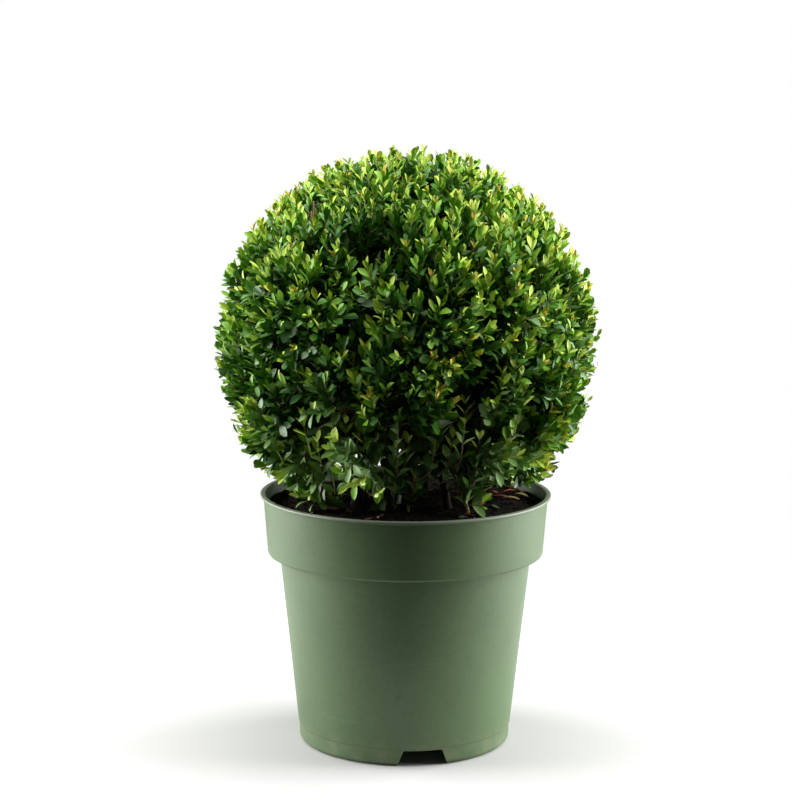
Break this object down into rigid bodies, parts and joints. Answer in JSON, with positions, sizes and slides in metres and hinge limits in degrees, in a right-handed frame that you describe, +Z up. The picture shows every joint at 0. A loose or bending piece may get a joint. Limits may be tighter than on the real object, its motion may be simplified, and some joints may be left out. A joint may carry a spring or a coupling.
{
  "type": "potted japanese holly",
  "caption": "Small evergreen shrub clipped to a ball, standing on stems in a round tapered plastic nursery pot filled with soil.",
  "frame": {"origin": "middle of the pot's flat underside, on the surface that it stands on", "axes": "+Z up the pot's axis to the top of the ball; -Y towards the viewer; +X to the viewer's right"},
  "size_m": [0.3284, 0.3271, 0.5326],
  "materials": {
    "pot_plastic": "satin",
    "potting_soil": "matte",
    "bark": "matte",
    "foliage": "satin"
  },
  "bodies": {
    "root": {"crown_top": "foliage", "low_sprig_1": "foliage", "low_sprig_2": "foliage", "low_sprig_3": "foliage", "low_sprig_4": "foliage", "low_sprig_5": "foliage", "lower_bough_1": "bark", "lower_bough_2": "bark", "lower_bough_3": "bark", "lower_bough_4": "bark", "lower_bough_5": "bark", "lower_bough_6": "bark", "lower_foliage_1": "foliage", "lower_foliage_2": "foliage", "lower_foliage_3": "foliage", "lower_foliage_4": "foliage", "lower_foliage_5": "foliage", "lower_foliage_6": "foliage", "middle_stem": "bark", "pot": "pot_plastic", "potting_soil": "potting_soil", "side_stem_1": "bark", "side_stem_2": "bark", "side_stem_3": "bark", "side_stem_4": "bark", "side_stem_5": "bark", "side_stem_6": "bark", "upper_bough_1": "bark", "upper_bough_2": "bark", "upper_bough_3": "bark", "upper_bough_4": "bark", "upper_bough_5": "bark", "upper_bough_6": "bark", "upper_foliage_1": "foliage", "upper_foliage_2": "foliage", "upper_foliage_3": "foliage", "upper_foliage_4": "foliage", "upper_foliage_5": "foliage", "upper_foliage_6": "foliage"}
  },
  "joints": []
}
